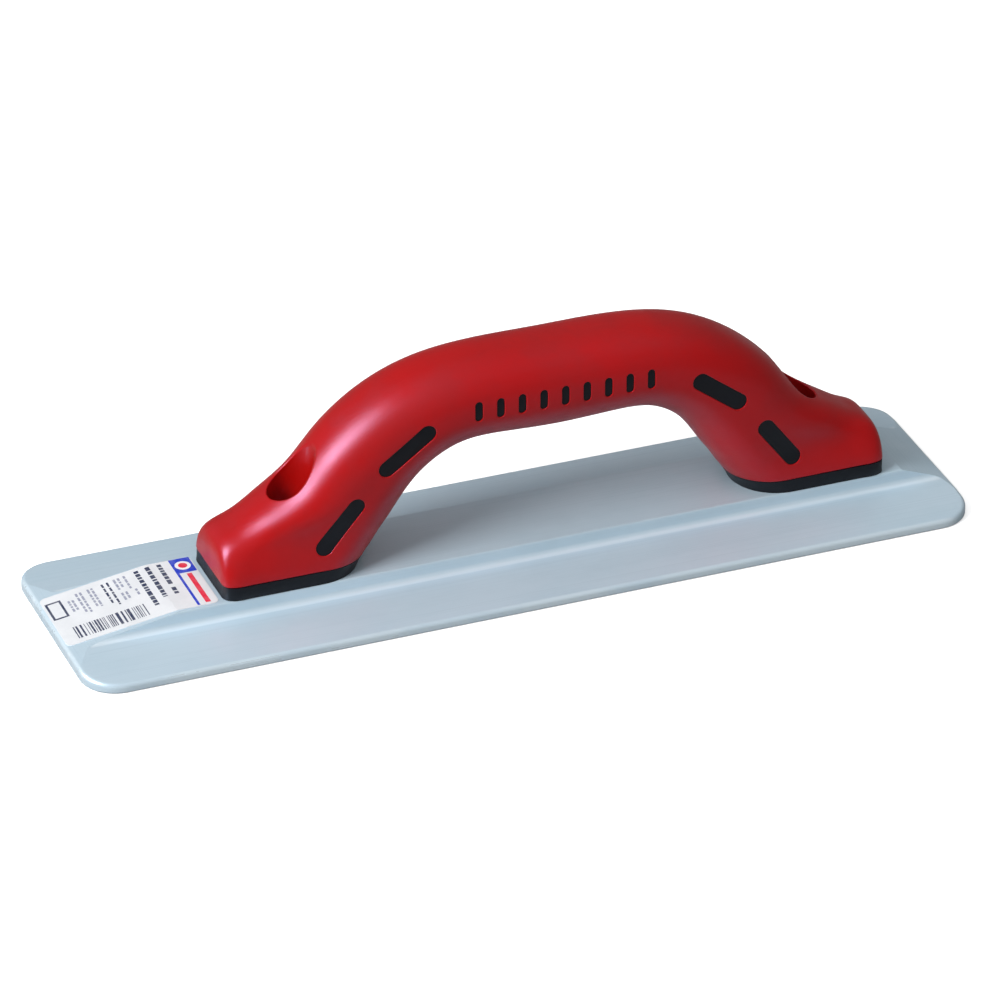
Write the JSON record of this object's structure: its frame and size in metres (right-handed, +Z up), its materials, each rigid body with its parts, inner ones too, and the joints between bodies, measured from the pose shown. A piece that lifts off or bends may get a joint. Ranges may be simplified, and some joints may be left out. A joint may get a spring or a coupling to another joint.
{
  "type": "hand float",
  "caption": "Magnesium hand float: flat extruded blade with a raised spine and bevelled ends, and a soft-skinned arched handle screwed down through two driver wells.",
  "frame": {"origin": "centre of the blade's flat working face", "axes": "+X along the blade towards its short-bevelled end, +Y across the blade, +Z up through the handle"},
  "size_m": [0.3048, 0.0794, 0.0768],
  "materials": {
    "blade_magnesium": "satin, extruded",
    "core_plastic": "matte moulded",
    "grip_rubber": "satin soft moulding",
    "screw_steel": "zinc plated",
    "label_paper": "printed vinyl sheet"
  },
  "bodies": {
    "root": {"blade": "blade_magnesium", "handle_core": "core_plastic", "handle_grip": "grip_rubber", "left_screw": "screw_steel", "right_screw": "screw_steel", "left_washer": "screw_steel", "right_washer": "screw_steel", "label": "label_paper"}
  },
  "joints": []
}
